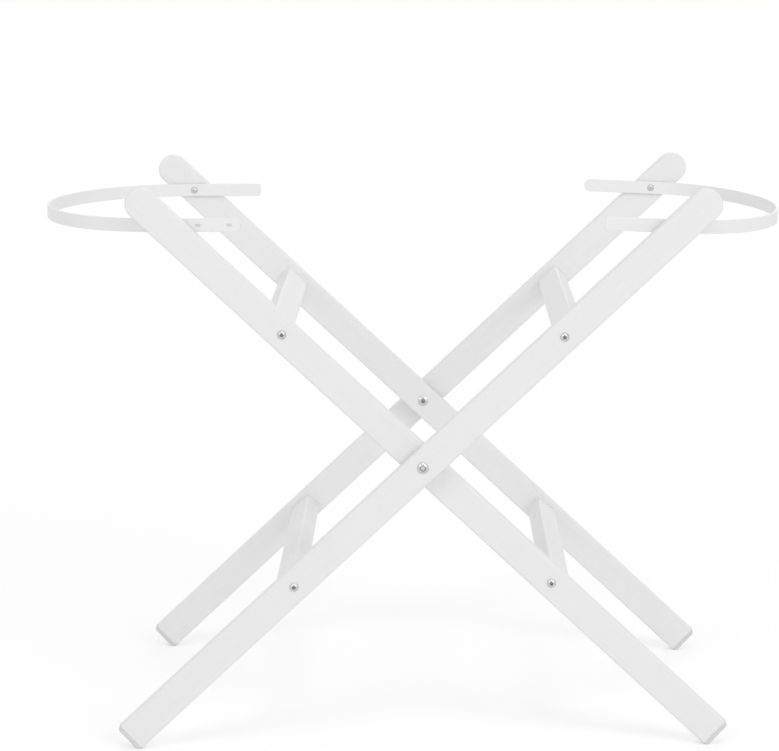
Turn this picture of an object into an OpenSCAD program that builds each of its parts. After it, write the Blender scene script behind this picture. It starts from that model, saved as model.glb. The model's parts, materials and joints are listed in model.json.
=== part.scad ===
// Folding moses basket stand: two crossed leg frames, and a steel hoop at each end.
// Millimetres, +Z up, X from the left hoop to the right one, Y from front to rear.
// The origin is on the floor, at the bottom centre of the bounding box.

/* [Legs] */
// Width of a leg's broad face
leg_w = 35; // [32:1:44]
// Thickness of a leg
leg_t = 18; // [16:1:24]
// Angle between each leg and the floor with the stand open
leg_angle = 43.2; // [38:0.2:50]
// From the crossing to the centre of the round top end
top_reach = 423.5; // [405:0.5:470]
// From the crossing to the end of the foot pad
foot_reach = 454; // [420:1:500]
// Clear width between the two inner legs
inner_span = 396; // [340:2:460]
// Gap between the inner and outer legs where they cross
leg_gap = 1; // [0.8:0.1:2]
// Rounding of the long edges of legs and rails
edge_r = 2.5; // [1:0.5:4]

/* [Foot pads] */
// Thickness of the pad on a leg's square end
pad_t = 5; // [5:0.5:8]
// Corner rounding of a pad
foot_r = 4.5; // [4.5:0.5:5]
// Depth of the flat on a pad's lower corner, which stands on the floor
foot_flat = 0.8; // [0.4:0.1:1]

/* [Rails] */
// Depth of a rail along the leg
rail_w = 30; // [27:1:34]
// Thickness of a rail across the leg
rail_t = 21; // [18:1:24]
// From the crossing to the bolts of the upper rails, which carry the load
upper_bolt_reach = 213; // [180:1:250]
// From the crossing to the bolts of the lower rails
lower_bolt_reach = 196.5; // [160:0.5:240]
// From the bolt to the dowel in a rail's end, a pair that is centred on the rail
bolt_to_dowel = 15; // [12:0.5:18]

/* [Rail fixings] */
// Thread diameter of a rail bolt
rail_bolt_d = 6; // [5:0.5:7]
// Head diameter of a rail bolt
rail_bolt_head_d = 10; // [9.5:0.5:12]
// Head height of a rail bolt
rail_bolt_head_h = 3; // [2.5:0.1:3.6]
// Hexagon key size of a rail bolt
rail_bolt_key = 4; // [3:0.5:5]
// Diameter of the barrel nut in a rail
barrel_d = 10; // [9:0.5:12]
// Length of the barrel nut
barrel_len = 14; // [12:0.5:15]
// From the rail's end to the barrel nut's axis
barrel_inset = 32; // [24:1:45]
// Length of bolt beyond the barrel nut's axis
bolt_past_barrel = 9; // [7:0.5:14]
// Diameter of a locating dowel
dowel_d = 6; // [5:0.5:7]
// Depth of a dowel in the rail
dowel_in_rail = 14; // [10:1:18]
// Wood left in the leg behind a dowel
dowel_cover = 8; // [6:1:12]

/* [Crossing] */
// Outer diameter of the sleeve nut that the inner leg turns on
sleeve_d = 9; // [8:0.5:10]
// Wood left in the outer leg behind the sleeve nut
sleeve_cover = 6; // [4:1:10]
// Thread diameter of the pivot bolt
pivot_bolt_d = 6; // [5:0.5:6.5]
// Head diameter of the pivot bolt and flange diameter of its sleeve nut
pivot_head_d = 13; // [12:0.5:16]
// Height of the pivot bolt's head
pivot_head_h = 3.2; // [2.5:0.1:4]
// Height of the sleeve nut's flange
pivot_flange_h = 2.4; // [2:0.1:3]
// Hexagon key size of the pivot bolt and its nut
pivot_key = 5; // [4:0.5:5.5]
// Outer diameter of the nylon washer between the legs
washer_od = 17; // [15:0.5:18]
// Diameter of the stop pin that ends the opening and the folding
stop_pin_d = 4; // [3:0.5:4.5]
// Clear distance from the washer's rim to the stop pin
stop_pin_clear = 1; // [0.6:0.1:1.5]
// Wood left in the outer leg behind the stop pin
stop_pin_cover = 8; // [6:0.5:12]
// Wood left in the inner leg behind the stop pin's groove
groove_cover = 11; // [8:0.5:12]
// Angle left between the legs when the stand is folded
folded_angle = 15.6; // [14:0.2:30]

/* [Hoops] */
// Height of the hoop's flat strip
strip_h = 15; // [13:0.5:18]
// Thickness of the hoop's strip
strip_t = 3; // [2:0.5:4]
// From the centre of a leg's round top end to the hoop's screw
hoop_screw_inset = 36.5; // [30:0.5:60]
// From the screw to the strip's free end
hoop_tail = 82; // [76:1:92]
// From the screw to where the bow begins
hoop_lead = 8; // [7.5:0.5:30]
// Depth of the left bow
left_bow = 146.5; // [110:0.5:170]
// Depth of the right bow
right_bow = 121.5; // [95:0.5:150]
// Angle by which the left bow hangs below level
left_droop = 0.2; // [0:0.1:5]
// Angle by which the right bow hangs below level
right_droop = 2.4; // [0:0.1:5]
// Corner radius of the hoop's square end
strip_corner_r = 3; // [2:0.5:5]
// From the hoop's round end to the first punched mark
mark_inset = 13; // [10:0.5:16]
// From the first punched mark to the second
mark_pitch = 34.5; // [25:0.5:40]
// Length of a punched mark
mark_len = 6.5; // [5:0.5:8]
// Height of a punched mark
mark_h = 3.5; // [3:0.5:5]
// Depth of a punched mark
mark_depth = 0.8; // [0.4:0.1:1.2]
// Shank diameter of a hoop screw
screw_d = 4; // [3.5:0.5:5]
// Wood left in the leg behind a hoop screw's point
screw_cover = 4; // [3:0.5:8]
// Head diameter of a hoop screw
screw_head_d = 8; // [7:0.5:10]
// Head height of a hoop screw
screw_head_h = 2.6; // [2.2:0.1:3.2]
// Width of the cross recess in a hoop screw's head
screw_slot_w = 1.2; // [0.8:0.1:1.6]
// Thickness of the nylon washer between strip and leg
strip_washer_t = 1; // [0.8:0.1:2]
// Outer diameter of the nylon washer between strip and leg
strip_washer_od = 12; // [10:0.5:14]

/* [Fits] */
// Radial clearance of pins, bolts and sleeves in their bores
fit_gap = 0.05; // [0.03:0.01:0.1]
// Clearance beside a face that turns past another, and beyond the end of a pin in a blind hole
play = 0.1; // [0.05:0.05:0.2]
// Clearance of the stop pin in its groove
groove_gap = 0.3; // [0.2:0.05:0.5]

/* [Hidden] */
$fn = 64;
paint = [0.93, 0.93, 0.925];
zinc = [0.72, 0.73, 0.75];
nylon = [0.90, 0.90, 0.88];
bare_beech = [0.80, 0.65, 0.48];
rubber = [0.80, 0.80, 0.79];

// Overlap that lets a cut break through a face
eps = 0.01;
// Flats along the curve of a bow
bow_steps = 72;

// Distances from the middle plane to the faces of the legs
inner_in_y = inner_span / 2;
inner_out_y = inner_in_y + leg_t;
outer_in_y = inner_out_y + leg_gap;
outer_out_y = outer_in_y + leg_t;

// From the middle of the crossing to the stop pin, which stands just outside the washer
stop_pin_reach = washer_od / 2 + stop_pin_clear + stop_pin_d / 2;

// From the crossing to the hoop's screw, along the leg
hoop_screw_reach = top_reach - hoop_screw_inset;

// Half widths of the hoops over the outside of the strip
left_half = inner_in_y - strip_washer_t;
right_half = outer_in_y - strip_washer_t;

// From the crossing to the farthest point of a hoop
function hoop_reach(bow, droop) = hoop_screw_reach * cos(leg_angle)
    + (hoop_lead + bow) * cos(droop) + strip_h / 2 * sin(droop);

// The bows differ in depth, and the origin is half way between their tips
pivot_x = (hoop_reach(left_bow, left_droop) - hoop_reach(right_bow, right_droop)) / 2;
// The pad corner's lowest point, less its flat, stands on the floor
pivot_z = (foot_reach - foot_r) * sin(leg_angle) + (leg_w / 2 - foot_r) * cos(leg_angle)
    + foot_r - foot_flat;

// A frame's own X runs up its legs, and its own Z points out of the legs' upper edge.
module in_outer_frame() {
    translate([pivot_x, 0, pivot_z]) rotate([0, -leg_angle, 0]) children();
}

module in_inner_frame() {
    translate([pivot_x, 0, pivot_z]) mirror([1, 0, 0]) rotate([0, -leg_angle, 0]) children();
}

// A rail's own X points away from the crossing, and its origin is in the middle of its section.
module at_upper() {
    translate([upper_bolt_reach + bolt_to_dowel / 2, 0, 0]) children();
}

module at_lower() {
    mirror([1, 0, 0]) translate([lower_bolt_reach + bolt_to_dowel / 2, 0, 0]) children();
}

// In a rail's end the bolt is nearer the crossing and the dowel is farther out.
module at_bolt() {
    translate([-bolt_to_dowel / 2, 0, 0]) children();
}

module at_dowel() {
    translate([bolt_to_dowel / 2, 0, 0]) children();
}

// Pieces are drawn at the rear, +Y, and mirrored to the front.
module at_front() {
    mirror([0, 1, 0]) children();
}

module front_and_rear() {
    children();
    at_front() children();
}

// A round bar along +Y that starts at y
module bar_y(d, y, len) {
    translate([0, y, 0]) rotate([-90, 0, 0]) cylinder(d = d, h = len);
}

// A bore along +Y that starts at y, for a bar of diameter d
module bore_y(d, y, len) {
    bar_y(d + 2 * fit_gap, y, len);
}

module rounded_rect(w, h, r) {
    square([w - 2 * r, h], center = true);
    square([w, h - 2 * r], center = true);
    for (x = [-1, 1], y = [-1, 1])
        translate([x * (w / 2 - r), y * (h / 2 - r)]) circle(r = r);
}

// A disc about the Y axis, of the leg's thickness and with the leg's rounded edges
module leg_disc(r) {
    rotate([90, 0, 0]) rotate_extrude() intersection() {
        rounded_rect(2 * r, leg_t, edge_r);
        translate([0, -leg_t]) square([2 * r, 2 * leg_t]);
    }
}

// One leg without its bores, with its pad in one piece, centred in its thickness
module leg_blank() {
    straight_from = -(foot_reach - foot_r);
    corner_z = leg_w / 2 - foot_r;
    translate([straight_from, 0, 0]) rotate([90, 0, 90])
        linear_extrude(top_reach - straight_from) rounded_rect(leg_t, leg_w, edge_r);
    translate([top_reach, 0, 0]) leg_disc(leg_w / 2);
    for (side = [-1, 1])
        translate([straight_from, 0, side * corner_z]) leg_disc(foot_r);
    translate([straight_from, 0, -corner_z])
        linear_extrude(2 * corner_z) rounded_rect(2 * foot_r, leg_t, edge_r);
}

// Everything beyond the square end that a leg's pad sits on
module beyond_leg() {
    translate([-foot_reach - pad_t, -leg_t, -leg_w]) cube([2 * pad_t, 2 * leg_t, 2 * leg_w]);
}

// The floor as the leg's own frame sees it
module floor_block() {
    reach = foot_reach + top_reach;
    rotate([0, leg_angle, 0])
        translate([-reach, -leg_t, -pivot_z - leg_w]) cube([2 * reach, 2 * leg_t, leg_w]);
}

// The bores at a rail's end: one through for the bolt, and a blind one for the dowel
module rail_bores(y_in) {
    at_bolt() bore_y(rail_bolt_d, y_in - eps, leg_t + 2 * eps);
    at_dowel() bore_y(dowel_d, y_in - eps, leg_t - dowel_cover + play + eps);
}

// A leg whose inner face is at y_in, bored for its rails and its hoop screw
module leg_with_rail_bores(y_in) {
    difference() {
        translate([0, y_in + leg_t / 2, 0]) difference() {
            leg_blank();
            beyond_leg();
        }
        at_upper() rail_bores(y_in);
        at_lower() rail_bores(y_in);
        translate([hoop_screw_reach, 0, 0])
            bore_y(screw_d, y_in - eps, leg_t - screw_cover + play + eps);
    }
}

// An outer leg is also bored for the sleeve nut, the pivot bolt and the stop pin.
module outer_leg() {
    color(paint) difference() {
        leg_with_rail_bores(outer_in_y);
        bore_y(sleeve_d, outer_in_y - eps, leg_t - sleeve_cover + play + eps);
        bore_y(pivot_bolt_d, outer_in_y, leg_t + eps);
        translate([stop_pin_reach, 0, 0])
            bore_y(stop_pin_d, outer_in_y - eps, leg_t - stop_pin_cover + play + eps);
    }
}

// An inner leg turns on the sleeve nut, and its groove meets the stop pin at both ends of the fold.
// The groove's angles go from the leg's own X towards its upper edge.
module inner_leg() {
    groove_w = stop_pin_d + 2 * groove_gap;
    groove_h = leg_t - groove_cover + groove_gap + eps;
    open_at = 180 - 2 * leg_angle;
    end_turn = asin(groove_w / 2 / stop_pin_reach);
    color(paint) difference() {
        leg_with_rail_bores(inner_in_y);
        bore_y(sleeve_d, inner_in_y - eps, leg_t + 2 * eps);
        translate([0, inner_out_y + eps, 0]) rotate([90, 0, 0])
            rotate([0, 0, folded_angle - end_turn])
                rotate_extrude(angle = open_at - folded_angle + 2 * end_turn)
                    translate([stop_pin_reach - groove_w / 2, 0]) square([groove_w, groove_h]);
    }
}

module outer_front_leg() { in_outer_frame() at_front() outer_leg(); }
module outer_rear_leg() { in_outer_frame() outer_leg(); }
module inner_front_leg() { in_inner_frame() at_front() inner_leg(); }
module inner_rear_leg() { in_inner_frame() inner_leg(); }

// The pad on a leg whose inner face is at y_in
module foot_pad(y_in) {
    color(rubber) translate([0, y_in + leg_t / 2, 0]) difference() {
        intersection() {
            leg_blank();
            beyond_leg();
        }
        floor_block();
    }
}

module outer_front_foot_pad() { in_outer_frame() at_front() foot_pad(outer_in_y); }
module outer_rear_foot_pad() { in_outer_frame() foot_pad(outer_in_y); }
module inner_front_foot_pad() { in_inner_frame() at_front() foot_pad(inner_in_y); }
module inner_rear_foot_pad() { in_inner_frame() foot_pad(inner_in_y); }

// A rail that ends at y_in, bored at both ends for its bolt, barrel nut and dowel
module rail(y_in) {
    barrel_y = y_in - barrel_inset;
    bolt_tip_y = barrel_y - bolt_past_barrel;
    color(paint) difference() {
        rotate([90, 0, 0]) linear_extrude(2 * y_in, center = true)
            rounded_rect(rail_w, rail_t, edge_r);
        front_and_rear() {
            at_bolt() bore_y(rail_bolt_d, bolt_tip_y - play, y_in - bolt_tip_y + play + eps);
            at_bolt() translate([0, barrel_y, -rail_t / 2 - eps])
                cylinder(d = barrel_d + 2 * fit_gap, h = rail_t / 2 + barrel_len / 2 + play + eps);
            at_dowel() bore_y(dowel_d, y_in - dowel_in_rail - play, dowel_in_rail + play + eps);
        }
    }
}

module outer_upper_rail() { in_outer_frame() at_upper() rail(outer_in_y); }
module outer_lower_rail() { in_outer_frame() at_lower() rail(outer_in_y); }
module inner_upper_rail() { in_inner_frame() at_upper() rail(inner_in_y); }
module inner_lower_rail() { in_inner_frame() at_lower() rail(inner_in_y); }

// A domed head that stands on z = 0
module domed_head(d, h) {
    dome_r = (d * d / 4 + h * h) / (2 * h);
    intersection() {
        translate([0, 0, h - dome_r]) sphere(r = dome_r);
        cylinder(d = d, h = h);
    }
}

// A domed head with a hexagon socket that is cut to two thirds of its height
module socket_head(d, h, key) {
    difference() {
        domed_head(d, h);
        translate([0, 0, h / 3]) cylinder(d = key / cos(30), h = h, $fn = 6);
    }
}

// Seats a head on a face at y: outwards looks along +Y, inwards along -Y.
module outwards_at(y) {
    translate([0, y, 0]) rotate([-90, 0, 0]) children();
}

module inwards_at(y) {
    translate([0, y, 0]) rotate([90, 0, 0]) children();
}

// Rail bolts: the head on the leg's outer face, the end just past the barrel nut
module rail_bolts(y_in) {
    tip_y = y_in - barrel_inset - bolt_past_barrel;
    head_y = y_in + leg_t;
    color(zinc) front_and_rear() at_bolt() {
        outwards_at(head_y) socket_head(rail_bolt_head_d, rail_bolt_head_h, rail_bolt_key);
        bar_y(rail_bolt_d, tip_y, head_y - tip_y + eps);
    }
}

module outer_upper_rail_bolts() { in_outer_frame() at_upper() rail_bolts(outer_in_y); }
module outer_lower_rail_bolts() { in_outer_frame() at_lower() rail_bolts(outer_in_y); }
module inner_upper_rail_bolts() { in_inner_frame() at_upper() rail_bolts(inner_in_y); }
module inner_lower_rail_bolts() { in_inner_frame() at_lower() rail_bolts(inner_in_y); }

// Barrel nuts: let in from the rail's under side, with a slot for a screwdriver
module barrel_nuts(y_in) {
    slot_w = barrel_d / 6;
    color(zinc) front_and_rear() at_bolt() translate([0, y_in - barrel_inset, 0]) difference() {
        cylinder(d = barrel_d, h = barrel_len, center = true);
        bore_y(rail_bolt_d, -barrel_d, 2 * barrel_d);
        translate([0, 0, -barrel_len / 2]) cube([slot_w, 2 * barrel_d, 2 * slot_w], center = true);
    }
}

module outer_upper_barrel_nuts() { in_outer_frame() at_upper() barrel_nuts(outer_in_y); }
module outer_lower_barrel_nuts() { in_outer_frame() at_lower() barrel_nuts(outer_in_y); }
module inner_upper_barrel_nuts() { in_inner_frame() at_upper() barrel_nuts(inner_in_y); }
module inner_lower_barrel_nuts() { in_inner_frame() at_lower() barrel_nuts(inner_in_y); }

// Locating dowels: one beside each bolt, so that the rail can't turn on it
module dowels(y_in) {
    color(bare_beech) front_and_rear() at_dowel()
        bar_y(dowel_d, y_in - dowel_in_rail, dowel_in_rail + leg_t - dowel_cover);
}

module outer_upper_dowels() { in_outer_frame() at_upper() dowels(outer_in_y); }
module outer_lower_dowels() { in_outer_frame() at_lower() dowels(outer_in_y); }
module inner_upper_dowels() { in_inner_frame() at_upper() dowels(inner_in_y); }
module inner_lower_dowels() { in_inner_frame() at_lower() dowels(inner_in_y); }

// The crossing's bolt comes from outside, and screws into a sleeve nut that comes from inside.
module pivot_bolt() {
    tip_y = inner_in_y + play;
    color(zinc) {
        outwards_at(outer_out_y) socket_head(pivot_head_d, pivot_head_h, pivot_key);
        bar_y(pivot_bolt_d, tip_y, outer_out_y - tip_y + eps);
    }
}

module sleeve_nut() {
    flange_y = inner_in_y - play;
    sleeve_end_y = outer_out_y - sleeve_cover;
    color(zinc) difference() {
        union() {
            inwards_at(flange_y) socket_head(pivot_head_d, pivot_flange_h, pivot_key);
            bar_y(sleeve_d, flange_y - eps, sleeve_end_y - flange_y + eps);
        }
        bore_y(pivot_bolt_d, inner_in_y, sleeve_end_y);
    }
}

module pivot_washer() {
    color(nylon) difference() {
        bar_y(washer_od, inner_out_y + play, leg_gap - 2 * play);
        bore_y(sleeve_d, inner_out_y, leg_gap);
    }
}

module stop_pin() {
    from_y = inner_in_y + groove_cover;
    to_y = outer_out_y - stop_pin_cover;
    color(zinc) translate([stop_pin_reach, 0, 0]) bar_y(stop_pin_d, from_y, to_y - from_y);
}

module front_pivot_bolt() { in_outer_frame() at_front() pivot_bolt(); }
module rear_pivot_bolt() { in_outer_frame() pivot_bolt(); }
module front_sleeve_nut() { in_outer_frame() at_front() sleeve_nut(); }
module rear_sleeve_nut() { in_outer_frame() sleeve_nut(); }
module front_pivot_washer() { in_outer_frame() at_front() pivot_washer(); }
module rear_pivot_washer() { in_outer_frame() pivot_washer(); }
module front_stop_pin() { in_outer_frame() at_front() stop_pin(); }
module rear_stop_pin() { in_outer_frame() stop_pin(); }

// A hoop's own X points out to its bow, its own Y is across, and its origin is on its screws' axis.
module at_right_screws() {
    translate([pivot_x, 0, pivot_z])
        translate(hoop_screw_reach * [cos(leg_angle), 0, sin(leg_angle)]) children();
}

module at_left_screws() {
    translate([pivot_x, 0, pivot_z]) mirror([1, 0, 0])
        translate(hoop_screw_reach * [cos(leg_angle), 0, sin(leg_angle)]) children();
}

// Side views of a strip's free end: a round one, and a square one with rounded corners
module round_end() {
    translate([-hoop_tail + strip_h / 2, 0]) circle(d = strip_h);
}

module square_end() {
    corner_z = strip_h / 2 - strip_corner_r;
    translate([-hoop_tail + strip_corner_r, 0]) {
        square([2 * strip_corner_r, 2 * corner_z], center = true);
        for (side = [-1, 1])
            translate([0, side * corner_z]) circle(r = strip_corner_r);
    }
}

// Side view of a punched mark, an oval
module mark_side() {
    for (side = [-1, 1])
        translate([side * (mark_len - mark_h) / 2, 0]) circle(d = mark_h);
    square([mark_len - mark_h, mark_h], center = true);
}

// Stands a side view up as a plate of thickness t, with its rear face at y
module plate_at(y, t) {
    translate([0, y, 0]) rotate([90, 0, 0]) linear_extrude(t) children();
}

// A point on the outside of a bow, and the way out from it, at angle t round half an ellipse
function bow_point(half, bow, t) = [hoop_lead + bow * cos(t), half * sin(t)];
function bow_normal(half, bow, t) = let (n = [cos(t) / bow, sin(t) / half]) n / norm(n);

// Plan of a hoop without its free ends: a straight stretch, the bow, and a straight stretch
module hoop_plan(half, bow) {
    turns = [for (k = [0:bow_steps]) 180 * k / bow_steps - 90];
    outside = [for (t = turns) bow_point(half, bow, t)];
    inside = [for (t = turns) bow_point(half, bow, -t) - strip_t * bow_normal(half, bow, -t)];
    round_x = -hoop_tail + strip_h / 2;
    square_x = -hoop_tail + strip_corner_r;
    polygon(concat([[square_x, -half]], outside, [[round_x, half], [round_x, half - strip_t]],
        inside, [[square_x, strip_t - half]]));
}

// A hoop with its punched, round end at +Y and its square end at -Y
module hoop(half, bow) {
    color(paint) difference() {
        union() {
            linear_extrude(strip_h, center = true) hoop_plan(half, bow);
            plate_at(half, strip_t) round_end();
            plate_at(strip_t - half, strip_t) square_end();
        }
        bore_y(screw_d, -half - eps, 2 * half + 2 * eps);
        for (k = [0, 1])
            translate([mark_inset + k * mark_pitch - hoop_tail, 0, 0])
                plate_at(half + eps, mark_depth + eps) mark_side();
    }
}

module left_hoop() { at_left_screws() rotate([0, left_droop, 0]) at_front() hoop(left_half, left_bow); }
module right_hoop() { at_right_screws() rotate([0, right_droop, 0]) hoop(right_half, right_bow); }

// Hoop screws: the head inside the hoop, the point in the leg
module hoop_screws(half) {
    head_y = half - strip_t - play;
    tip_y = half + strip_washer_t + leg_t - screw_cover;
    slot_len = screw_head_d / 2;
    color(zinc) front_and_rear() {
        inwards_at(head_y) difference() {
            domed_head(screw_head_d, screw_head_h);
            for (turn = [0, 90])
                translate([0, 0, screw_head_h]) rotate([0, 0, turn])
                    cube([slot_len, screw_slot_w, screw_head_h], center = true);
        }
        bar_y(screw_d, head_y - eps, tip_y - screw_d - head_y + eps);
        outwards_at(tip_y - screw_d) cylinder(d1 = screw_d, d2 = screw_d / 8, h = screw_d);
    }
}

module hoop_washers(half) {
    color(nylon) front_and_rear() difference() {
        bar_y(strip_washer_od, half + play, strip_washer_t - play);
        bore_y(screw_d, half, 2 * strip_washer_t);
    }
}

module left_hoop_screws() { at_left_screws() hoop_screws(left_half); }
module right_hoop_screws() { at_right_screws() hoop_screws(right_half); }
module left_hoop_washers() { at_left_screws() hoop_washers(left_half); }
module right_hoop_washers() { at_right_screws() hoop_washers(right_half); }

outer_front_leg();
outer_rear_leg();
inner_front_leg();
inner_rear_leg();
outer_front_foot_pad();
outer_rear_foot_pad();
inner_front_foot_pad();
inner_rear_foot_pad();
outer_upper_rail();
outer_lower_rail();
inner_upper_rail();
inner_lower_rail();
left_hoop();
right_hoop();
front_pivot_bolt();
rear_pivot_bolt();
front_sleeve_nut();
rear_sleeve_nut();
front_pivot_washer();
rear_pivot_washer();
front_stop_pin();
rear_stop_pin();
outer_upper_rail_bolts();
outer_lower_rail_bolts();
inner_upper_rail_bolts();
inner_lower_rail_bolts();
outer_upper_barrel_nuts();
outer_lower_barrel_nuts();
inner_upper_barrel_nuts();
inner_lower_barrel_nuts();
outer_upper_dowels();
outer_lower_dowels();
inner_upper_dowels();
inner_lower_dowels();
left_hoop_screws();
right_hoop_screws();
left_hoop_washers();
right_hoop_washers();
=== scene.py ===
# %% [markdown]
# # A folding moses basket stand
# Two crossed frames of white lacquered beech carry the load on their upper rails. A flat steel hoop at each
# end keeps it from sliding off. The frames fold together about a bolt at each crossing, and each hoop
# swings on its two screws.
#
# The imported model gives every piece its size, place and motion. This lesson gives each one its looks:
# rounded edges, turned and punched detail, and the finish that it has on the real stand.

# %% Load the frame
import json
from math import asin, cos, pi, radians, sin, sqrt

import bmesh
import bpy
from mathutils import Matrix, Vector

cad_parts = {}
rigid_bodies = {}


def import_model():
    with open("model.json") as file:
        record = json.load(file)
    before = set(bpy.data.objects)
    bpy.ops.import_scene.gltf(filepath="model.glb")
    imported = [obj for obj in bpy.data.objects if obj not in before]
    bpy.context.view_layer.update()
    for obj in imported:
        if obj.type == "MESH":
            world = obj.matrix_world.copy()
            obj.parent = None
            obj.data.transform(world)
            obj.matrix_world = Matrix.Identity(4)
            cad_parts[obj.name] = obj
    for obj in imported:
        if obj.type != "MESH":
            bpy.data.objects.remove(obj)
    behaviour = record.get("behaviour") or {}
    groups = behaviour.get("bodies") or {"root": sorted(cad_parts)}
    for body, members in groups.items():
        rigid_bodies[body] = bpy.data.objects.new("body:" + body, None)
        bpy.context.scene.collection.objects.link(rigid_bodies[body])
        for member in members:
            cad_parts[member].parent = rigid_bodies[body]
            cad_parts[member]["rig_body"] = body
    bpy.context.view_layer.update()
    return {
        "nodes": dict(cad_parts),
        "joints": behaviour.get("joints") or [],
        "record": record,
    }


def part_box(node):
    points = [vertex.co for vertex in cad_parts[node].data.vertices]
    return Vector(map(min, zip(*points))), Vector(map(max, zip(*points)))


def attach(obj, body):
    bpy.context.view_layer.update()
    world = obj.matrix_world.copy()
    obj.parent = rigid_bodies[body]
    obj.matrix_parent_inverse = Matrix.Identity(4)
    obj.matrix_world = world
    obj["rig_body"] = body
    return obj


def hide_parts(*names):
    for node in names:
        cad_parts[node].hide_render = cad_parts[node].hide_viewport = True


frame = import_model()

# %% [markdown]
# ## Where things are
# The joints say where the crossing and the hoops' screws are, and the boxes of the legs say how far each
# leg lies from the middle. These could be typed in, but values that are read from the frame stay right when
# the part changes. Only sizes that can't be read there are written in this script, in millimetres times MM.
# Each frame has axes of its own: X runs up its legs, and Z points out of their upper edge. The inner frame
# is the outer one turned half round about the vertical, so nothing needs to be mirrored.

# %% Places and main sizes
MM = 0.001
joints = {joint["name"]: joint for joint in frame["joints"]}
PIVOT = Vector(joints["fold"]["pos_m"])
INNER_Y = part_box("inner_rear_leg")[0].y
OUTER_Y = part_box("outer_rear_leg")[0].y
LEG_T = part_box("inner_rear_leg")[1].y - INNER_Y
LEG_ANGLE = radians(43.2)

OUTER_FRAME = Matrix.Translation(PIVOT) @ Matrix.Rotation(-LEG_ANGLE, 4, "Y")
INNER_FRAME = Matrix.Translation(PIVOT) @ Matrix.Rotation(pi, 4, "Z") @ Matrix.Rotation(-LEG_ANGLE, 4, "Y")
FRAMES = {"outer": (OUTER_FRAME, OUTER_Y), "inner": (INNER_FRAME, INNER_Y)}
print("crossing:", PIVOT, "leg thickness:", round(LEG_T / MM, 2), "mm")

# %% [markdown]
# ## Colours and nodes
# Colours are written as they look on a screen, and one function turns them to the linear values that a
# shader works with. Nodes could be placed and wired by hand in the shader editor, but a script can be read
# and run again. A second function adds a node, sets it up and links it, so that each finish below reads as
# a short recipe.

# %% Helpers for materials
def linear(code):
    """Turn a screen colour such as #F0F0EE to linear red, green, blue and alpha."""
    parts = [int(code[i:i + 2], 16) / 255 for i in (1, 3, 5)]
    return [p / 12.92 if p <= 0.04045 else ((p + 0.055) / 1.055) ** 2.4 for p in parts] + [1]


def add(tree, kind, sockets=None, **settings):
    """Add a node. Sockets are given by name or number, as a value or as the output that is linked to it."""
    node = tree.nodes.new(kind)
    for name, value in settings.items():
        setattr(node, name, value)
    for key, value in (sockets or {}).items():
        if isinstance(value, bpy.types.NodeSocket):
            tree.links.new(value, node.inputs[key])
        else:
            node.inputs[key].default_value = value
    return node


def new_material(name):
    """An empty material, and the node tree to build it in."""
    made = bpy.data.materials.new(name)
    made.use_nodes = True
    made.node_tree.nodes.clear()
    return made, made.node_tree


print("white lacquer in linear light:", [round(c, 3) for c in linear("#EDEDED")])

# %% [markdown]
# ## White lacquer on beech
# The legs and rails are beech, sanded, primed and sprayed with satin white lacquer. The spray hides the
# colour of the wood, but long pores still show as faint streaks, and the surface has the soft ripple of a
# sprayed coat. Plain white would be quicker, but it looks like plastic from near by, so one noise makes the
# streaks and another the ripple. Real pores are too fine to show in a picture of the whole stand, so they
# are drawn coarser here. The grain follows each board, so the finish is made once for each direction that a
# board runs in. A Mapping node of the Texture kind turns the pattern first and stretches it afterwards,
# which keeps the streaks along the board.

# %% The lacquer
# The sockets of a Mix node that mixes colours: its two inputs and its output
MIX_A, MIX_B, MIX_COLOUR = 6, 7, 2


def white_lacquer(name, board_turn):
    """Satin white: bright and even, with a broad soft sheen, faint streaks and a slight ripple."""
    made, tree = new_material(name)
    place = add(tree, "ShaderNodeTexCoord").outputs["Object"]
    pore_size = (60 * MM, 1.6 * MM, 1.6 * MM)
    along = add(tree, "ShaderNodeMapping", {"Vector": place, "Rotation": board_turn, "Scale": pore_size},
                vector_type="TEXTURE")
    pores = add(tree, "ShaderNodeTexNoise", {"Vector": along.outputs[0], "Scale": 1, "Detail": 4,
                                             "Roughness": 0.6})
    streaks = add(tree, "ShaderNodeMapRange", {"Value": pores.outputs[0], "From Min": 0.5, "From Max": 0.8,
                                               "To Max": 0.5})
    cloud_size = 90 * MM
    clouds = add(tree, "ShaderNodeTexNoise", {"Vector": place, "Scale": 1 / cloud_size, "Detail": 2})
    tint = add(tree, "ShaderNodeMix", {0: clouds.outputs[0], MIX_A: linear("#EDEDED"),
                                       MIX_B: linear("#EAEAEA")}, data_type="RGBA")
    colour = add(tree, "ShaderNodeMix", {0: streaks.outputs[0], MIX_A: tint.outputs[MIX_COLOUR],
                                         MIX_B: linear("#E2E2E1")}, data_type="RGBA")
    gloss = add(tree, "ShaderNodeMapRange", {"Value": clouds.outputs[0], "To Min": 0.5, "To Max": 0.6})
    ripple_size = 5 * MM
    ripple = add(tree, "ShaderNodeTexNoise", {"Vector": place, "Scale": 1 / ripple_size, "Detail": 2})
    relief = add(tree, "ShaderNodeMath", {0: pores.outputs[0], 1: ripple.outputs[0]}, operation="ADD")
    bump = add(tree, "ShaderNodeBump", {"Height": relief.outputs[0], "Distance": 0.04 * MM, "Strength": 1})
    coat = add(tree, "ShaderNodeBsdfPrincipled", {
        "Base Color": colour.outputs[MIX_COLOUR], "Roughness": gloss.outputs[0], "IOR": 1.5,
        "Normal": bump.outputs[0]})
    add(tree, "ShaderNodeOutputMaterial", {"Surface": coat.outputs[0]})
    return made


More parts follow.
